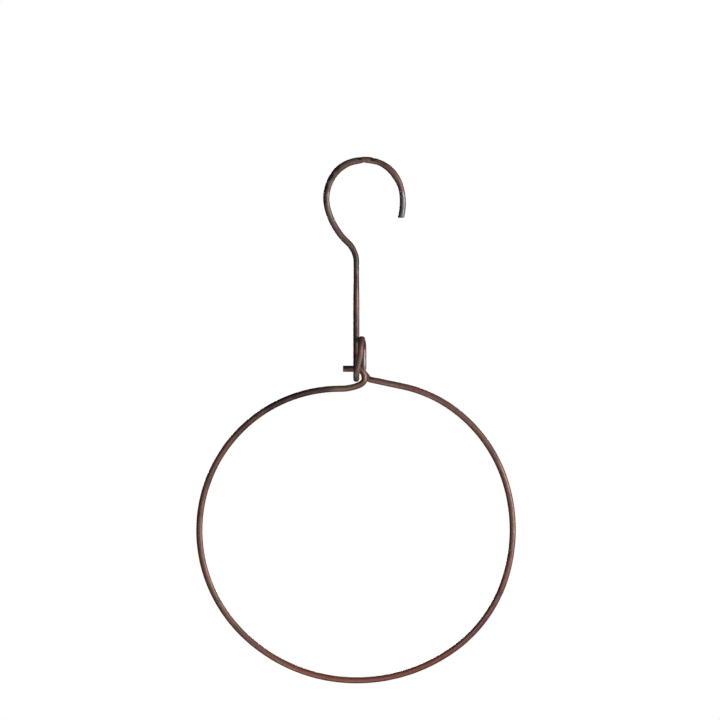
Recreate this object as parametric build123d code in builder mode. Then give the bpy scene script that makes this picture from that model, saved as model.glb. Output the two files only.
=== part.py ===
"""Wire hook with a hoop that hangs and swings in its eye.

Two lengths of the same round wire, both bent by hand.  The hook wire ends in a tall, narrow eye.
The hoop's two ends lie side by side in the bottom of that eye: one is a plain stub that springs
out to open the hoop, the other is turned round the hook's shank so that it can't pull out.

Frame: the origin is the hang point, under the crown of the hook.  X is to the right, Y away from
the viewer and Z up.  The hook lies in the plane Y = 0.  Sizes are in millimetres.
"""

from build123d import *
from math import atan, cos, radians, sin, tan
import os

os.makedirs("parts", exist_ok=True)

# ---- the wire ----
wire_d = 4.0
wire_r = wire_d / 2
burr = 0.25  # bevel round each cut end

# ---- the hook; every bend radius is to the middle of the wire ----
crown_r = 24.0  # its centre is straight below the hang point
crown_turn = 80.0  # from the hang point to where the tip's wider bend starts
tip_r = 40.0
tip_turn = 24.0
shoulder_r = 44.0  # the straighter stretch that leads down to the neck
shoulder_turn = 35.0
neck_r = 17.0
neck_turn = 47.0

# ---- the eye: a flat coil of one turn, seen edge-on ----
hinge_drop = 129.6  # from the hang point to the axis that the hoop swings about
eye_bend_r = 6.35  # bottom of the eye, about the hinge axis
eye_flat_turn = 135.0  # the part of that bend that is straight in line with the shank
strand_lean = 12.5  # the front strand leans right
strand_bend_r = 12.0  # where it straightens up again
arch_r = 7.8  # top of the eye
arch_rise = 18.7  # top of the arch above the hinge axis
arch_yaw = 6.3  # the arch runs back a little to the right, so that it clears the shank
strand_end_rise = -0.6  # the eye's cut end, just below the hinge axis

# ---- the hoop; lengths are along X and Z from where the shank meets the hinge axis ----
end_spacing = 4.1  # between the hoop's two ends, side by side in the eye
stub_left = 8.4  # the free end stands out of the eye by this
curl_left = 0.2  # where the free end starts to curl down
hoop_drop = 196.2  # from the hinge axis to the lowest point of the hoop
lowest_right = 0.2  # the lowest point is this far right of the shank
keeper_leg = 1.6  # straight wire past the keeper's bend

# Each step is (straight run, bend radius, turn), and a positive turn is to the left of the way
# that the wire runs.  Both halves of the hoop start at the eye and end at its lowest point.
free_steps = [
    (stub_left - curl_left, 5.4, -90),  # over the top of the curl
    (0.9, 3.2, -43),  # round its outside
    (0, 7.7, -26),  # back under the eye
    (0, 32.5, -21),
    (0, 88.3, 45),  # left shoulder of the hoop
    (0, 89.5, 45),
]
free_close = (45, 45)
held_steps = [
    (1.2, 3, -51),  # drops behind the curl
    (6, 3, 39),
    (20.8, 83, -24),  # a straight stretch, then the right shoulder of the hoop
    (0, 90, -36),
    (0, 101, -36),
]
held_close = (-36, -36)


def unit(heading):
    """Unit vector at an angle from the local X axis, in degrees."""
    return Vector(1, 0).rotate(Axis.Z, heading)


def arc_step(heading, turn):
    """From one end to the other of an arc of radius 1 that turns by that many degrees."""
    side = 1 if turn > 0 else -1
    return (unit(heading + 90) - unit(heading + turn + 90)) * side


def follow(place, heading, steps):
    """Draw the steps in a row in the active BuildLine; return where they end and the heading."""
    for run, radius, turn in steps:
        bend_start = place + unit(heading) * run
        if run:
            Line(tuple(place), tuple(bend_start))
        if turn:
            JernArc(tuple(bend_start), tuple(unit(heading))[:2], radius, turn)
        place = bend_start + arc_step(heading, turn) * radius
        heading += turn
    return place, heading


def closing_steps(place, heading, turns, target):
    """Two last arcs, for the turn of each, with the radii that bring the wire to the target."""
    first = arc_step(heading, turns[0])
    second = arc_step(heading + turns[0], turns[1])
    gap = target - place
    area = first.cross(second).Z
    first_r = gap.cross(second).Z / area
    second_r = first.cross(gap).Z / area
    return [(0, first_r, turns[0]), (0, second_r, turns[1])]


def sweep_wire(*lines):
    """Sweep the wire's round section along the drawn lines, in order; bevel its two cut ends."""
    path = Wire([edge for line in lines for edge in line.line.edges()])
    with BuildPart() as wire:
        with BuildSketch(Plane(path @ 0, z_dir=path % 0)):
            Circle(wire_r)
        sweep(path=path)
        chamfer(wire.faces().filter_by(GeomType.PLANE).edges(), burr)
    return wire


# ---- hook: from the hang point out to the tip, and back down to the eye ----
front = Plane.XZ
crown_top = Vector(0, wire_r)
with BuildLine(front) as tip_side:
    follow(crown_top, 0, [(0, crown_r, -crown_turn), (0, tip_r, -tip_turn)])

with BuildLine(front) as shank_side:
    shank_top, _ = follow(
        crown_top,
        180,
        [
            (0, crown_r, 90 + neck_turn - shoulder_turn),
            (0, shoulder_r, shoulder_turn),
            (0, neck_r, -neck_turn),
        ],
    )
    Line(tuple(shank_top), (shank_top.X, -hinge_drop))

# ---- eye: back under the hoop's ends, up the front, over the arch and down beside the shank ----
shank_x = shank_top.X
hinge_y = -eye_bend_r
side_on = Plane((shank_x, hinge_y, -hinge_drop), x_dir=(0, 1, 0), z_dir=(1, 0, 0))
with BuildLine(side_on) as eye_bottom:
    follow(Vector(eye_bend_r, 0), -90, [(0, eye_bend_r, -eye_flat_turn)])

# The rest of that bend also turns the wire to the right, into the leaning front strand.
lean_sin = sin(radians(strand_lean))
lean_cos = cos(radians(strand_lean))
strand_way = Vector(lean_sin, 0, lean_cos)
lean_foot = eye_bottom.line @ 1
foot_way = eye_bottom.line % 1
lean_turn = foot_way.get_angle(strand_way)
lean_r = (hinge_y - eye_bend_r - lean_foot.Y) / (foot_way.Y * tan(radians(lean_turn / 2)))
with BuildLine(Plane(lean_foot, x_dir=foot_way, z_dir=foot_way.cross(strand_way))) as eye_front:
    follow(Vector(0, 0), 0, [(0, lean_r, lean_turn)])

strand_foot = eye_front.line @ 1
arch_foot_z = arch_rise - arch_r - hinge_drop
strand_run = (arch_foot_z - strand_foot.Z - strand_bend_r * lean_sin) / lean_cos
with BuildLine(Plane(strand_foot, x_dir=(1, 0, 0), z_dir=(0, -1, 0))) as front_strand:
    follow(Vector(0, 0), 90 - strand_lean, [(strand_run, strand_bend_r, strand_lean)])

yaw_sin = sin(radians(arch_yaw))
yaw_cos = cos(radians(arch_yaw))
yawed = Plane(front_strand.line @ 1, x_dir=(yaw_sin, yaw_cos, 0), z_dir=(yaw_cos, -yaw_sin, 0))
with BuildLine(yawed) as arch:
    follow(Vector(0, 0), 90, [(0, arch_r, -180)])
    Line((2 * arch_r, 0), (2 * arch_r, strand_end_rise - arch_rise + arch_r))

hook = sweep_wire(tip_side, shank_side, eye_bottom, eye_front, front_strand, arch)
hook.part.label = "hook"
export_step(hook.part, "parts/hook.step")

# ---- hoop: each half is flat, and leans so that the two ends lie side by side in the eye ----
half_lean = atan(end_spacing / 2 / hoop_drop)
half_drop = hoop_drop / cos(half_lean)
lowest = Vector(lowest_right, -half_drop)


def half_plane(side):
    """Plane of one half of the hoop: side is -1 for the front one and +1 for the back one."""
    return Plane(
        (shank_x, hinge_y + side * end_spacing / 2, -hinge_drop),
        x_dir=(1, 0, 0),
        z_dir=(0, -cos(half_lean), side * sin(half_lean)),
    )


with BuildLine(half_plane(-1)) as free_half:
    place, heading = follow(Vector(-stub_left, 0), 0, free_steps)
    follow(place, heading, closing_steps(place, heading, free_close, lowest))

with BuildLine(half_plane(1)) as held_half:
    place, heading = follow(Vector(0, 0), 0, held_steps)
    follow(place, heading, closing_steps(place, heading, held_close, lowest))

# ---- keeper: the held end turns back round the left of the shank, about the shank's axis ----
keeper_r = eye_bend_r - end_spacing / 2
level = Plane((shank_x, hinge_y + end_spacing / 2, -hinge_drop))
with BuildLine(level) as keeper:
    leg_start, _ = follow(Vector(0, 0), 180, [(0, keeper_r, -90)])
    Line(tuple(leg_start), tuple(leg_start + Vector(0, keeper_leg)))

ring = sweep_wire(free_half, held_half, keeper)
ring.part.label = "ring"
export_step(ring.part, "parts/ring.step")
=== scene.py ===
"""Looks of the wire hook and its hoop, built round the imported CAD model.

Both wires are drawn again along the same centrelines as the CAD model's, with the same driving
dimensions, as fine meshes that carry the marks of hand bending, wear and cutting.  The names and
sizes of the path, in millimetres, are those of part.py; everything in Blender is in metres.
"""

import cmath
import math

import bpy
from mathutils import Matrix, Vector, noise


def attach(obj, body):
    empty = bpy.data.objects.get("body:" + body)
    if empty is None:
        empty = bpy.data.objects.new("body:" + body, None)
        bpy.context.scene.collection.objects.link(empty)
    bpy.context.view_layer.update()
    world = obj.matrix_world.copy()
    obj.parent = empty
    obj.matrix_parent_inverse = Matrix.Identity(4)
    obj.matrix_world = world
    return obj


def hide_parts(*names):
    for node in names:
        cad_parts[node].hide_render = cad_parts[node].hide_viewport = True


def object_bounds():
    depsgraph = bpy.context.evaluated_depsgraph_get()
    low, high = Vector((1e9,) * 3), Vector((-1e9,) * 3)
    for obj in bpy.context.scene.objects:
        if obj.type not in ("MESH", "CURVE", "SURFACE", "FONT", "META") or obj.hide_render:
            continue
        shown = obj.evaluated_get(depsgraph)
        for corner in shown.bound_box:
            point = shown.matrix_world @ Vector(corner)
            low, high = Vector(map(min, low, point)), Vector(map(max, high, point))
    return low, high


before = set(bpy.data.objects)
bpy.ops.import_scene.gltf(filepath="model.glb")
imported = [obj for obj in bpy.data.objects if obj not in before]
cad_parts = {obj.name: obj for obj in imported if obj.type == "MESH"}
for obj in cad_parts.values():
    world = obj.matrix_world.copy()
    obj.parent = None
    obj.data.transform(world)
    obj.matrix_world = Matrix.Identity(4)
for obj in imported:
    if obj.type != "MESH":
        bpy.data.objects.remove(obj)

cad_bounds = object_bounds()
MM = 0.001

# ---- the wires' driving dimensions, as in part.py ----
wire_d = 4.0
wire_r = wire_d / 2
crown_r = 24.0
crown_turn = 80.0
tip_r = 40.0
tip_turn = 24.0
shoulder_r = 44.0
shoulder_turn = 35.0
neck_r = 17.0
neck_turn = 47.0
hinge_drop = 129.6
eye_bend_r = 6.35
eye_flat_turn = 135.0
strand_lean = 12.5
strand_bend_r = 12.0
arch_r = 7.8
arch_rise = 18.7
arch_yaw = 6.3
strand_end_rise = -0.6
end_spacing = 4.1
stub_left = 8.4
curl_left = 0.2
hoop_drop = 196.2
lowest_right = 0.2
keeper_leg = 1.6
free_steps = [
    (stub_left - curl_left, 5.4, -90),
    (0.9, 3.2, -43),
    (0, 7.7, -26),
    (0, 32.5, -21),
    (0, 88.3, 45),
    (0, 89.5, 45),
]
free_close = (45, 45)
held_steps = [
    (1.2, 3, -51),
    (6, 3, 39),
    (20.8, 83, -24),
    (0, 90, -36),
    (0, 101, -36),
]
held_close = (-36, -36)

# ---- how finely the wires are drawn ----
ring_gap = 0.4  # along the wire
ring_sides = 40  # round the wire

# ---- roughness of the wires' surface; a grain is in features to a millimetre ----
oxide_loss = 0.02  # the surface lies this much inside the nominal radius
drawing_height, drawing_grain = 0.03, 0.09  # slow changes of thickness along the wire
lump_height, lump_grain = 0.03, 0.45
scale_height, scale_grain = 0.02, 1.7
pit_depth, pit_grain = 0.05, 0.8
pit_shift = Vector((7, 3, 1))  # so that the pits don't follow the scale
pit_from, pit_softness = 0.38, 0.25  # only where the noise is this strong, with soft edges
mark_edge = 0.2  # a mark ends where the surface's cosine with its facing is down to this

# ---- cut ends ----
# Rings from the wire's side to its middle: (share of the radius, how far short of the end).
cut_rings = [
    (1.0, 0.34),
    (0.985, 0.2),
    (0.94, 0.08),
    (0.86, 0.01),
    (0.7, 0.0),
    (0.5, 0.02),
    (0.25, 0.0),
]
cut_depth = cut_rings[0][1]
ring_spare = 0.1  # the wire's own rings keep this clear of those
skew_length = 2.0  # they tilt into the plane of a slanting cut over this length


# ======================================================================== centrelines
def unit(heading):
    """Unit step at an angle in degrees, as a complex number in the plane being drawn in."""
    return cmath.rect(1, math.radians(heading))


def arc_step(heading, turn):
    """From one end to the other of an arc of radius 1 that turns by that many degrees."""
    side = math.copysign(1, turn)
    return side * 1j * (unit(heading) - unit(heading + turn))


def shares(length):
    """Even shares of a stretch, from just past its start to its end."""
    count = max(1, round(length / ring_gap))
    return [(i + 1) / count for i in range(count)]


def follow(place, heading, steps):
    """Points along straight runs and arcs, with the place and the heading where they end."""
    points = [place]
    for run, radius, turn in steps:
        if run:
            points += [place + unit(heading) * run * share for share in shares(run)]
            place += unit(heading) * run
        if turn:
            bend = radius * math.radians(abs(turn))
            points += [place + radius * arc_step(heading, turn * share) for share in shares(bend)]
            place += radius * arc_step(heading, turn)
            heading += turn
    return points, place, heading


def cross(first, second):
    """Cross product of two steps."""
    return (first.conjugate() * second).imag


def closing_steps(place, heading, turns, target):
    """Two last arcs, for the turn of each, with the radii that bring the wire to the target."""
    first = arc_step(heading, turns[0])
    second = arc_step(heading + turns[0], turns[1])
    gap = target - place
    area = cross(first, second)
    return [(0, cross(gap, second) / area, turns[0]), (0, cross(first, gap) / area, turns[1])]


def lift(points, origin, x_way, normal):
    """Points of a drawn plane, in space; the plane is given as in part.py."""
    x_way = Vector(x_way)
    y_way = Vector(normal).cross(x_way)
    return [Vector(origin) + x_way * point.real + y_way * point.imag for point in points]


def joined(*stretches):
    """One row of points from stretches that meet end to end."""
    row = list(stretches[0])
    for stretch in stretches[1:]:
        row += stretch[1:]
    return row


def hook_line():
    """Centreline of the hook wire, from its tip to the eye's cut end, and the shank's place."""
    front = ((0, 0, 0), (1, 0, 0), (0, -1, 0))
    crown_top = complex(0, wire_r)
    tip, _, _ = follow(crown_top, 0, [(0, crown_r, -crown_turn), (0, tip_r, -tip_turn)])
    shank_steps = [
        (0, crown_r, 90 + neck_turn - shoulder_turn),
        (0, shoulder_r, shoulder_turn),
        (0, neck_r, -neck_turn),
    ]
    neck, shank_top, down = follow(crown_top, 180, shank_steps)
    shank, _, _ = follow(shank_top, down, [(shank_top.imag + hinge_drop, 0, 0)])

    shank_x = shank_top.real
    hinge = (shank_x, -eye_bend_r, -hinge_drop)
    bottom, _, foot_heading = follow(eye_bend_r, -90, [(0, eye_bend_r, -eye_flat_turn)])
    bottom = lift(bottom, hinge, (0, 1, 0), (1, 0, 0))

    lean = math.radians(strand_lean)
    strand_way = Vector((math.sin(lean), 0, math.cos(lean)))
    foot_way = Vector((0, unit(foot_heading).real, unit(foot_heading).imag))
    lean_turn = foot_way.angle(strand_way)
    lean_r = (-2 * eye_bend_r - bottom[-1].y) / (foot_way.y * math.tan(lean_turn / 2))
    leaning, _, _ = follow(0, 0, [(0, lean_r, math.degrees(lean_turn))])
    leaning = lift(leaning, bottom[-1], foot_way, foot_way.cross(strand_way).normalized())

    strand_foot = leaning[-1]
    arch_foot_z = arch_rise - arch_r - hinge_drop
    strand_run = (arch_foot_z - strand_foot.z - strand_bend_r * math.sin(lean)) / math.cos(lean)
    strand, _, _ = follow(0, 90 - strand_lean, [(strand_run, strand_bend_r, strand_lean)])
    strand = lift(strand, strand_foot, (1, 0, 0), (0, -1, 0))

    yaw = math.radians(arch_yaw)
    back_drop = arch_rise - arch_r - strand_end_rise
    arch, _, _ = follow(0, 90, [(0, arch_r, -180), (back_drop, 0, 0)])
    arch_way = (math.sin(yaw), math.cos(yaw), 0)
    arch_normal = (math.cos(yaw), -math.sin(yaw), 0)
    arch = lift(arch, strand[-1], arch_way, arch_normal)

    tip = lift(tip, *front)[::-1]
    neck = lift(neck, *front)
    shank = lift(shank, *front)
    return joined(tip, neck, shank, bottom, leaning, strand, arch), shank_x


def ring_line(shank_x):
    """Centreline of the hoop wire, from its free stub round the hoop to the end of the keeper."""
    half_lean = math.atan(end_spacing / 2 / hoop_drop)
    lowest = complex(lowest_right, -hoop_drop / math.cos(half_lean))

    def half(side, start, steps, close):
        points, place, heading = follow(start, 0, steps)
        closing, _, _ = follow(place, heading, closing_steps(place, heading, close, lowest))
        origin = (shank_x, -eye_bend_r + side * end_spacing / 2, -hinge_drop)
        normal = (0, -math.cos(half_lean), side * math.sin(half_lean))
        return lift(joined(points, closing), origin, (1, 0, 0), normal)

    free = half(-1, complex(-stub_left, 0), free_steps, free_close)
    held = half(1, 0j, held_steps, held_close)
    keeper, _, _ = follow(0j, 180, [(0, eye_bend_r - end_spacing / 2, -90), (keeper_leg, 0, 0)])
    keeper = lift(keeper, held[0], (1, 0, 0), (0, 0, 1))
    return joined(free, held[::-1], keeper)


# ======================================================================== shape of the wire
def smooth(share):
    """0 to 1 with soft ends."""
    share = min(1, max(0, share))
    return share * share * (3 - 2 * share)


def near(distance, reach):
    """1 at the middle of a mark, 0 past its reach."""
    return smooth(1 - distance / reach)


def dents(point, outward, marks):
    """How far the surface is pressed in at a point, in millimetres, by plier jaws, wear or a nick.

    A mark is (place, facing, reach along the wire, depth).  It presses in the side that faces it,
    and where its depth is negative that side stands proud.
    """
    depth = 0
    for place, facing, reach, most in marks:
        gap = (point - Vector(place)).length
        if gap < reach:
            cosine = outward.dot(Vector(facing).normalized())
            side = smooth((cosine - mark_edge) / (1 - mark_edge))
            depth += most * near(gap, reach) * side
    return depth


def surface_r(point, outward, marks):
    """Radius of the wire at a point of its centreline, towards the outward direction."""
    spot = point + outward * wire_r
    drawn = drawing_height * noise.noise(point * drawing_grain)
    lumps = lump_height * noise.noise(spot * lump_grain)
    scale = scale_height * noise.noise(spot * scale_grain)
    pitted = (noise.noise(spot * pit_grain + pit_shift) - pit_from) / pit_softness
    pit = pit_depth * smooth(pitted)
    return wire_r - oxide_loss + drawn + lumps + scale - pit - dents(point, outward, marks)


def frames(points):
    """Tangent and two side directions at each point, carried along without twisting."""
    last = len(points) - 1
    ways = []
    for i in range(len(points)):
        ways.append((points[min(i + 1, last)] - points[max(i - 1, 0)]).normalized())
    side = ways[0].orthogonal().normalized()
    rows = []
    for i, way in enumerate(ways):
        if i:
            side = ways[i - 1].rotation_difference(way) @ side
        side = (side - way * side.dot(way)).normalized()
        rows.append((way, side, way.cross(side)))
    return rows


def section(point, row, along, share, skew, cut, marks):
    """One ring of vertices round the wire, each with its place (along, across, across).

    share is the ring's size against the wire's, and skew how far it tilts into the cut's plane.
    """
    way, side, up = row
    turn = 2 * math.pi / ring_sides
    ring = []
    for j in range(ring_sides):
        outward = side * math.cos(j * turn) + up * math.sin(j * turn)
        reach = surface_r(point, outward, marks) * share
        offset = outward * reach
        slide = -offset.dot(cut) / way.dot(cut) * skew if skew else 0
        place = (along, math.cos(j * turn) * reach, math.sin(j * turn) * reach)
        ring.append((point + offset + way * slide, place))
    return ring


def wire_rings(points, marks, cuts):
    """All the rings of a wire, from one cut end to the other."""
    rows = frames(points)
    lengths = [0]
    for i in range(1, len(points)):
        lengths.append(lengths[-1] + (points[i] - points[i - 1]).length)
    total = lengths[-1]

    rings = []
    for share, short in reversed(cut_rings):
        middle = points[0] + rows[0][0] * short
        rings.append(section(middle, rows[0], short, share, 1, cuts[0], marks))
    for point, row, along in zip(points, rows, lengths):
        from_end = min(along, total - along)
        if from_end < cut_depth + ring_spare:
            continue
        cut = cuts[0] if along < total / 2 else cuts[1]
        skew = smooth(1 - (from_end - cut_depth) / skew_length)
        rings.append(section(point, row, along, 1, skew, cut, marks))
    for share, short in cut_rings:
        middle = points[-1] - rows[-1][0] * short
        rings.append(section(middle, rows[-1], total - short, share, 1, cuts[1], marks))
    return rings, total


def wire_faces(count):
    """Faces of a wire with that many rings, closed at each end by a fan round one more vertex."""
    first_middle = count * ring_sides
    last_middle = first_middle + 1
    last_ring = (count - 1) * ring_sides
    faces = []
    for low in range(0, last_ring, ring_sides):
        high = low + ring_sides
        for j in range(ring_sides):
            k = (j + 1) % ring_sides
            faces.append((low + j, low + k, high + k, high + j))
    for j in range(ring_sides):
        k = (j + 1) % ring_sides
        faces.append((first_middle, k, j))
    for j in range(ring_sides):
        k = (j + 1) % ring_sides
        faces.append((last_middle, last_ring + j, last_ring + k))
    return faces


def wire_mesh(name, points, marks, cuts):
    """A wire as one closed mesh, with each vertex's place along and round it as an attribute.

    cuts holds the directions that the first and the last cut face are square to.
    """
    rings, total = wire_rings(points, marks, cuts)
    corners = [corner for ring in rings for corner in ring]
    corners += [(points[0], (0, 0, 0)), (points[-1], (total, 0, 0))]
    mesh = bpy.data.meshes.new(name)
    mesh.from_pydata([spot * MM for spot, _ in corners], [], wire_faces(len(rings)))
    mesh.shade_smooth()
    attribute = mesh.attributes.new("wire_place", "FLOAT_VECTOR", "POINT")
    for i, (_, place) in enumerate(corners):
        attribute.data[i].vector = Vector(place) * MM
    return mesh


def paint(mesh, name, patches):
    """A mask for the material, from patches (place, reach, share).

    It is the share in the middle of a patch, and 0 past the patch's reach.
    """
    attribute = mesh.attributes.new(name, "FLOAT", "POINT")
    spots = [(Vector(place), reach, share) for place, reach, share in patches]
    for vertex in mesh.vertices:
        spot = vertex.co / MM
        layers = [share * near((spot - place).length, reach) for place, reach, share in spots]
        attribute.data[vertex.index].value = max(layers, default=0)


# ======================================================================== material
def add(nodes, kind, **values):
    """A node with its settings, and with its sockets by name."""
    node = nodes.new(kind)
    for key, value in values.items():
        if hasattr(node, key):
            setattr(node, key, value)
        else:
            node.inputs[key].default_value = value
    return node


class Shader:
    """A few words for building a node tree."""

    def __init__(self, name):
        self.material = bpy.data.materials.new(name)
        self.material.use_nodes = True
        self.nodes = self.material.node_tree.nodes
        self.links = self.material.node_tree.links
        self.surface = self.nodes["Principled BSDF"]

    def feed(self, socket, value):
        """Link a socket to another one, or set it to a number or a colour."""
        if isinstance(value, bpy.types.NodeSocket):
            self.links.new(value, socket)
        else:
            socket.default_value = value

    def attribute(self, name, output="Fac"):
        """What the mesh says at each vertex."""
        return add(self.nodes, "ShaderNodeAttribute", attribute_name=name).outputs[output]

    def stretched(self, vector, scale, shift=(0, 0, 0)):
        """A place, scaled along the wire and across it, and shifted."""
        node = add(self.nodes, "ShaderNodeMapping", vector_type="POINT")
        node.inputs["Scale"].default_value = scale
        node.inputs["Location"].default_value = shift
        self.links.new(vector, node.inputs["Vector"])
        return node.outputs["Vector"]

    def cloud(self, vector, detail, roughness):
        """Noise from 0 to 1, in patches about one unit across."""
        node = add(self.nodes, "ShaderNodeTexNoise", Scale=1.0, Detail=detail, Roughness=roughness)
        self.links.new(vector, node.inputs["Vector"])
        return node.outputs["Fac"]

    def between(self, value, low, high, out_low=0.0, out_high=1.0):
        """Softly from one output to the other, as the value goes from low to high."""
        node = add(self.nodes, "ShaderNodeMapRange", interpolation_type="SMOOTHSTEP")
        node.inputs["From Min"].default_value = low
        node.inputs["From Max"].default_value = high
        node.inputs["To Min"].default_value = out_low
        node.inputs["To Max"].default_value = out_high
        self.links.new(value, node.inputs["Value"])
        return node.outputs["Result"]

    def math(self, operation, first, second):
        """Two values, or a value and a number, put together."""
        node = add(self.nodes, "ShaderNodeMath", operation=operation)
        for socket, value in zip(node.inputs, (first, second)):
            self.feed(socket, value)
        return node.outputs["Value"]

    def mix(self, share, first, second):
        """A share from 0 to 1 of the second colour over the first."""
        node = add(self.nodes, "ShaderNodeMix", data_type="RGBA")
        colour_sockets = [socket for socket in node.inputs if socket.type == "RGBA"]
        self.links.new(share, node.inputs["Factor"])
        for socket, value in zip(colour_sockets, (first, second)):
            self.feed(socket, value)
        return next(socket for socket in node.outputs if socket.type == "RGBA")

    def bump(self, height, strength, distance, normal=None):
        """Small relief, on top of any that came before it."""
        node = add(self.nodes, "ShaderNodeBump", Strength=strength, Distance=distance)
        self.links.new(height, node.inputs["Height"])
        if normal:
            self.links.new(normal, node.inputs["Normal"])
        return node.outputs["Normal"]


def linear(red, green, blue):
    """A colour given as it looks on a screen, 0 to 255, as the shader wants it."""
    return tuple(((c / 255 + 0.055) / 1.055) ** 2.4 for c in (red, green, blue)) + (1.0,)


# What the oxide and the worn places look like in even light.
hook_brown = linear(90, 69, 63)
ring_brown = linear(99, 66, 55)
violet_brown = linear(98, 63, 62)
copper = linear(124, 77, 56)
olive = linear(90, 76, 56)
# The darkest colour: dark oxide and soot, and also painted shade round the eye and on sides turned
# away from the key light.
soot_and_shade = linear(30, 24, 22)
patina = linear(82, 92, 78)
bare_steel = linear(88, 90, 93)
rust = linear(112, 62, 46)


def aged_wire(name, shift, brown):
    """Old steel wire: brown oxide with stretches of other colours, and the painted patches, the
    dark ones partly painted shade.
    """
    shader = Shader(name)
    place = shader.attribute("wire_place", "Vector")
    shifted = shader.stretched(place, (1, 1, 1), shift)

    # Features per metre along the wire and across it: long patches, then fine grain.
    long_cloud = shader.cloud(shader.stretched(shifted, (55, 190, 190)), 3, 0.6)
    violet_cloud = shader.cloud(shader.stretched(shifted, (70, 260, 260), (3, 1, 2)), 3, 0.6)
    copper_cloud = shader.cloud(shader.stretched(shifted, (90, 420, 420), (5, 8, 1)), 4, 0.62)
    olive_cloud = shader.cloud(shader.stretched(shifted, (60, 330, 330), (9, 2, 6)), 4, 0.6)
    dark_cloud = shader.cloud(shader.stretched(shifted, (75, 300, 300), (1, 7, 4)), 5, 0.65)
    speckle = shader.cloud(shader.stretched(shifted, (1500, 1900, 1900)), 4, 0.7)
    draw_lines = shader.cloud(shader.stretched(shifted, (40, 2600, 2600)), 3, 0.6)

    colour = shader.mix(shader.between(violet_cloud, 0.42, 0.66), brown, violet_brown)
    colour = shader.mix(shader.between(copper_cloud, 0.52, 0.70, 0, 0.85), colour, copper)
    colour = shader.mix(shader.between(olive_cloud, 0.52, 0.68, 0, 0.8), colour, olive)
    colour = shader.mix(shader.between(dark_cloud, 0.53, 0.74, 0, 0.8), colour, soot_and_shade)

    # The painted patches, with ragged edges; the dark ones are partly painted shade.
    uneven = shader.between(long_cloud, 0.25, 0.5, 0.5, 1)
    reddish = shader.math("MULTIPLY", shader.attribute("rust"), uneven)
    colour = shader.mix(reddish, colour, rust)
    grainy = shader.between(speckle, 0.3, 0.55)
    greenish = shader.math("MULTIPLY", shader.attribute("patina"), grainy)
    colour = shader.mix(greenish, colour, patina)
    ragged = shader.between(dark_cloud, 0.3, 0.7, -0.2, 0.2)
    soot_and_shade_edge = shader.math("ADD", shader.attribute("soot_and_shade"), ragged)
    soot_and_shade_share = shader.math("MULTIPLY", shader.between(soot_and_shade_edge, 0.12, 0.7), 0.92)
    colour = shader.mix(soot_and_shade_share, colour, soot_and_shade)
    bare_edge = shader.math("ADD", shader.attribute("bare"), ragged)
    bare = shader.between(bare_edge, 0.1, 0.9)
    colour = shader.mix(bare, colour, bare_steel)

    colour = shader.mix(shader.between(speckle, 0.56, 0.74, 0, 0.22), colour, soot_and_shade)
    colour = shader.mix(shader.between(draw_lines, 0.58, 0.75, 0, 0.15), colour, bare_steel)

    # Smoother and more of a metal where it is bare.
    roughness = shader.between(long_cloud, 0.3, 0.7, 0.36, 0.52)
    roughness = shader.math("ADD", roughness, shader.between(speckle, 0.4, 0.75, 0.0, 0.16))
    roughness = shader.math("SUBTRACT", roughness, shader.math("MULTIPLY", bare, 0.1))
    metallic = shader.math("ADD", shader.math("MULTIPLY", bare, 0.4), 0.5)

    normal = shader.bump(draw_lines, 0.25, 0.00004)
    normal = shader.bump(speckle, 0.22, 0.00008, normal)

    looks = {"Base Color": colour, "Roughness": roughness, "Metallic": metallic, "Normal": normal}
    for socket, value in looks.items():
        shader.feed(shader.surface.inputs[socket], value)
    return shader.material


# ======================================================================== the two wires
def add_wire(name, node, body, mesh, material):
    """A finished wire that stands for its CAD node and moves with its body."""
    mesh.materials.append(material)
    piece = bpy.data.objects.new(name, mesh)
    bpy.context.scene.collection.objects.link(piece)
    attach(piece, body)
    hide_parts(node)


hook_points, shank_x = hook_line()
ring_points = ring_line(shank_x)
hinge_z = -hinge_drop
right = Vector((1, 0, 0))
back = Vector((0, 1, 0))
up = Vector((0, 0, 1))


def on_crown(degrees, side):
    """A place on the crown's centreline, and the way out of the bend (side 1) or into it (-1)."""
    out = Vector((math.cos(math.radians(degrees)), 0, math.sin(math.radians(degrees))))
    return Vector((0, 0, wire_r - crown_r)) + out * crown_r, out * side


# Marks: (place, the side that is pressed in, reach along the wire, depth).
hook_marks = [
    (*on_crown(90.5, -1), 0.9, 0.45),  # the nick under the crown
    (*on_crown(90, -1), 3.5, 0.12),  # worn where it hangs
    (*on_crown(76, 1), 1.4, 0.2),  # small nicks on top
    (*on_crown(96, 1), 1.2, 0.15),
    (*on_crown(50, 1), 13.0, -0.36),  # the crown is bent a little square
    (*on_crown(82, 1), 7.0, -0.16),
    (*on_crown(64, -1), 10.0, 0.36),
    (*on_crown(34, -1), 4.0, -0.15),
    (*on_crown(128, 1), 16.0, -0.52),
    (*on_crown(102, -1), 5.0, -0.2),
    (*on_crown(160, -1), 16.0, -0.16),
    (*on_crown(10, -1), 9.0, 0.2),  # thinner where it comes down to the tip
    (*on_crown(10, 1), 7.0, 0.12),
    ((shank_x, 0, -68.0), (1, 0, 0), 22.0, 0.2),  # drawn thinner below the neck
    ((shank_x, 0, -68.0), (-1, 0, 0), 22.0, 0.24),
    ((-9.5, 0, -57.0), (1, -0.3, 1), 5.0, 0.12),  # jaw marks of the pliers
    ((shank_x, 0, -95.0), (-0.3, -1, 0), 4.0, 0.12),
]
ring_marks = [
    ((shank_x - 6.5, -8.4, hinge_z), (0, -1, 0.6), 3.0, 0.2),  # jaw marks round the curl
    ((shank_x + 4.9, -8.4, hinge_z - 5.5), (1, -0.5, 0), 4.0, 0.18),
    ((shank_x + 8.2, -4.3, hinge_z - 7.0), (0.6, -0.4, 1), 4.0, 0.2),
]

hook_mesh = wire_mesh("hook_wire", hook_points, hook_marks, (up, up))
ring_mesh = wire_mesh("ring_wire", ring_points, ring_marks, (right, back))


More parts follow.
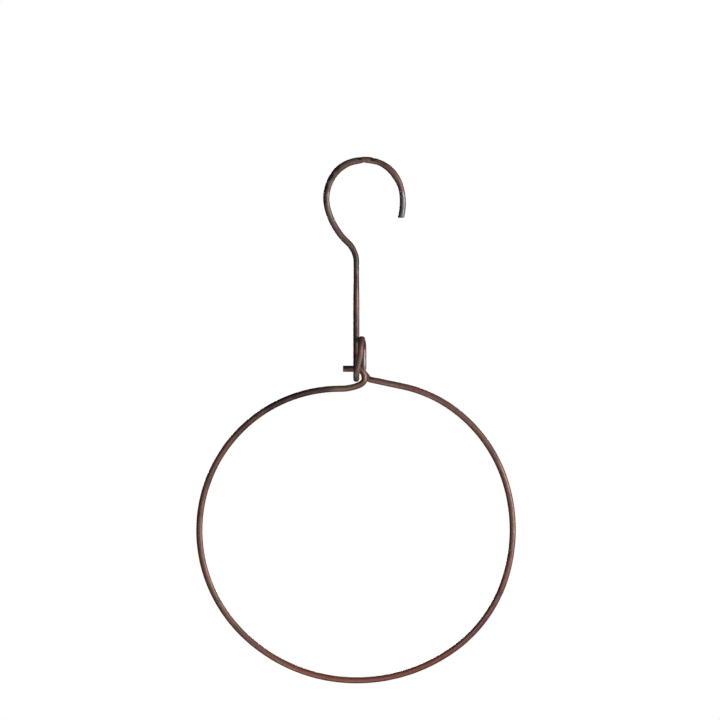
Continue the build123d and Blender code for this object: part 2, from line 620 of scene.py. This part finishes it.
def patches_along(points, first, last, reach, share):
    """Patches in a row on a wire, between two shares of its length."""
    count = len(points) - 1
    step = max(1, round(reach / ring_gap / 3))
    row = points[round(first * count):round(last * count):step]
    return [(point, reach, share) for point in row]


# Masks for the material, each a list of patches: (place, reach, share).
hook_masks = {
    "bare": [
        *patches_along(hook_points, 0.0, 0.055, 5.0, 0.8),  # the tip
        *patches_along(hook_points, 0.955, 0.99, 4.5, 1),  # the eye's back strand
    ],
    "soot_and_shade": [
        *patches_along(hook_points, 0.06, 0.44, 7.0, 0.26),  # a thin film from the tip to the neck
        # Painted shade over the crown's upper left, away from the key light.
        *patches_along(hook_points, 0.24, 0.285, 5.5, 0.5),
        ((-14.5, -1.0, 1.6), 4.5, 0.8),  # painted shade, darkest down the left of the crown
        ((-18.0, -1.5, -2.5), 5.0, 1),
        ((-21.5, -1.5, -8.0), 5.5, 1),
        ((-25.5, -1.0, -16.0), 7.0, 0.9),
        ((-26.0, -1.0, -24.0), 7.0, 0.7),
        ((-2.8, -1.8, 2.8), 2.4, 1),  # beside the nick
        ((5.6, -1.8, 2.8), 2.8, 1),
        ((21.5, -1.0, -36.5), 4.5, 0.8),  # painted shade on the tip's left side, away from the key light, down to its cut end
        ((22.8, -1.0, -29.0), 4.0, 0.7),
        *patches_along(hook_points, 0.44, 0.69, 7.0, 0.54),  # the shank
        *patches_along(hook_points, 0.69, 0.77, 7.0, 0.44),
        *patches_along(hook_points, 0.79, 0.93, 7.0, 0.3),  # the eye's front strand and arch
        # painted shade over the arch's top and back, where it passes the shank
        *patches_along(hook_points, 0.93, 0.97, 4.5, 0.6),
        *patches_along(hook_points, 0.99, 1.0, 3.0, 0.9),  # painted shade at the eye's cut end, behind the shank
        ((shank_x - 2.0, -1.0, hinge_z + 14.0), 4.0, 0.9),  # painted shade on the shank's left side, beside the eye
        ((shank_x - 2.0, -1.0, hinge_z + 8.0), 5.0, 0.9),
        ((shank_x - 2.0, -1.0, hinge_z + 2.0), 5.0, 0.9),
        ((shank_x - 0.5, 0.0, hinge_z + 18.5), 4.0, 1),  # painted shade where the arch passes the shank and the wires cross
        ((shank_x + 3.0, -3.0, hinge_z + 20.5), 4.0, 0.9),
        ((shank_x + 0.5, -12.0, hinge_z + 6.0), 4.0, 0.7),
    ],
    "patina": [
        ((shank_x + 1.0, -1.5, hinge_z + 16.5), 5.0, 0.8),
        ((-21.6, -1.5, -33.0), 10.0, 0.4),
        ((21.5, -1.5, -10.0), 7.0, 0.4),
        ((shank_x, -12.0, hinge_z - 4.0), 6.0, 0.3),
    ],
    "rust": [
        ((15.5, -1.0, -1.5), 7.0, 0.6),
        ((shank_x + 3.0, -13.0, hinge_z + 12.0), 6.0, 0.4),
    ],
}
ring_masks = {
    "bare": [],
    "soot_and_shade": [
        *patches_along(ring_points, 0.0, 0.012, 4.0, 0.9),  # the free end's stub
        ((shank_x + 9.0, -4.0, hinge_z - 6.0), 4.0, 0.9),  # painted shade on the wire behind the curl
        # painted shade on the curl's inner left
        ((shank_x + 2.5, -8.4, hinge_z - 6.5), 4.0, 0.9),
        *patches_along(ring_points, 0.015, 0.05, 6.0, 0.32),  # the curl
        *patches_along(ring_points, 0.07, 0.13, 12.0, 0.65),  # painted shade over the hoop's upper left, away from the key light, less further down
        *patches_along(ring_points, 0.13, 0.17, 12.0, 0.45),
        *patches_along(ring_points, 0.17, 0.26, 12.0, 0.25),
    ],
    "patina": [
        *patches_along(ring_points, 0.042, 0.062, 7.0, 0.35),
        *patches_along(ring_points, 0.94, 0.955, 7.0, 0.3),
    ],
    "rust": [
        ((shank_x + 4.0, -9.0, hinge_z - 4.0), 6.0, 0.4),
        *patches_along(ring_points, 0.42, 0.6, 15.0, 0.7),  # the bottom of the hoop
    ],
}
for mesh, masks in ((hook_mesh, hook_masks), (ring_mesh, ring_masks)):
    for mask, patches in masks.items():
        paint(mesh, mask, patches)

hook_material = aged_wire("aged_hook_wire", (0, 0, 0), hook_brown)
ring_material = aged_wire("aged_ring_wire", (4, 3, 2), ring_brown)
add_wire("hook_wire", "hook", "hook", hook_mesh, hook_material)
add_wire("ring_wire", "ring", "ring", ring_mesh, ring_material)


# ======================================================================== floor, light and camera
def pale_floor(height, size, glow):
    """A wide pale floor below the hanging object, which glows but doesn't light it."""
    mesh = bpy.data.meshes.new("floor")
    half = size / 2
    corners = [(-half, -half), (half, -half), (half, half), (-half, half)]
    mesh.from_pydata([(x, y, height) for x, y in corners], [], [(0, 1, 2, 3)])
    material = bpy.data.materials.new("pale_floor")
    material.use_nodes = True
    surface = material.node_tree.nodes["Principled BSDF"]
    surface.inputs["Base Color"].default_value = (0.9, 0.9, 0.9, 1)
    surface.inputs["Roughness"].default_value = 0.9
    surface.inputs["Emission Color"].default_value = (1, 1, 1, 1)
    surface.inputs["Emission Strength"].default_value = glow
    mesh.materials.append(material)
    floor = bpy.data.objects.new("floor", mesh)
    floor.visible_diffuse = False
    floor.visible_glossy = False
    bpy.context.scene.collection.objects.link(floor)


def softbox(name, place, target, width, height, power):
    """A soft area light that faces the target."""
    light = bpy.data.lights.new(name, "AREA")
    light.shape = "RECTANGLE"
    light.size = width
    light.size_y = height
    light.energy = power
    lamp = bpy.data.objects.new(name, light)
    lamp.location = place
    lamp.rotation_euler = (Vector(target) - Vector(place)).to_track_quat("-Z", "Y").to_euler()
    bpy.context.scene.collection.objects.link(lamp)


def studio_world(seen, lit):
    """White behind the object, and a dimmer even light on it."""
    world = bpy.data.worlds.new("studio")
    world.use_nodes = True
    nodes = world.node_tree.nodes
    links = world.node_tree.links
    path = nodes.new("ShaderNodeLightPath")
    strength = nodes.new("ShaderNodeMapRange")
    strength.inputs["To Min"].default_value = lit
    strength.inputs["To Max"].default_value = seen
    links.new(path.outputs["Is Camera Ray"], strength.inputs["Value"])
    background = nodes["Background"]
    background.inputs["Color"].default_value = (1, 1, 1, 1)
    links.new(strength.outputs["Result"], background.inputs["Strength"])
    bpy.context.scene.world = world


def studio_camera(middle, distance, lens):
    """A long lens that looks straight along +Y at the middle (x, z) of the picture."""
    camera = bpy.data.cameras.new("camera")
    camera.lens = lens
    camera.sensor_width = 36
    camera.clip_end = 50
    seat = bpy.data.objects.new("camera", camera)
    seat.location = (middle[0], -distance, middle[1])
    seat.rotation_euler = (math.radians(90), 0, 0)
    bpy.context.scene.collection.objects.link(seat)
    bpy.context.scene.camera = seat


lowest, highest = cad_bounds
middle = (Vector(lowest) + Vector(highest)) / 2
floor_drop = 1.2  # far enough below to be out of the picture
pale_floor(lowest[2] - floor_drop, size=20, glow=0.97)
studio_world(seen=1.0, lit=0.10)
softbox("key", (1.3, -0.75, 0.05), middle, width=0.7, height=0.7, power=34)
softbox("fill", (0.1, -1.9, -0.25), middle, width=0.9, height=0.5, power=7)
softbox("bounce", (-0.3, -0.9, -1.3), middle, width=1.0, height=1.0, power=13)
softbox("back", (-0.1, 2.0, 0.1), middle, width=1.0, height=0.8, power=45)
studio_camera((-0.0027, -0.1241), distance=6.304, lens=500)
bpy.context.scene.view_settings.view_transform = "Standard"
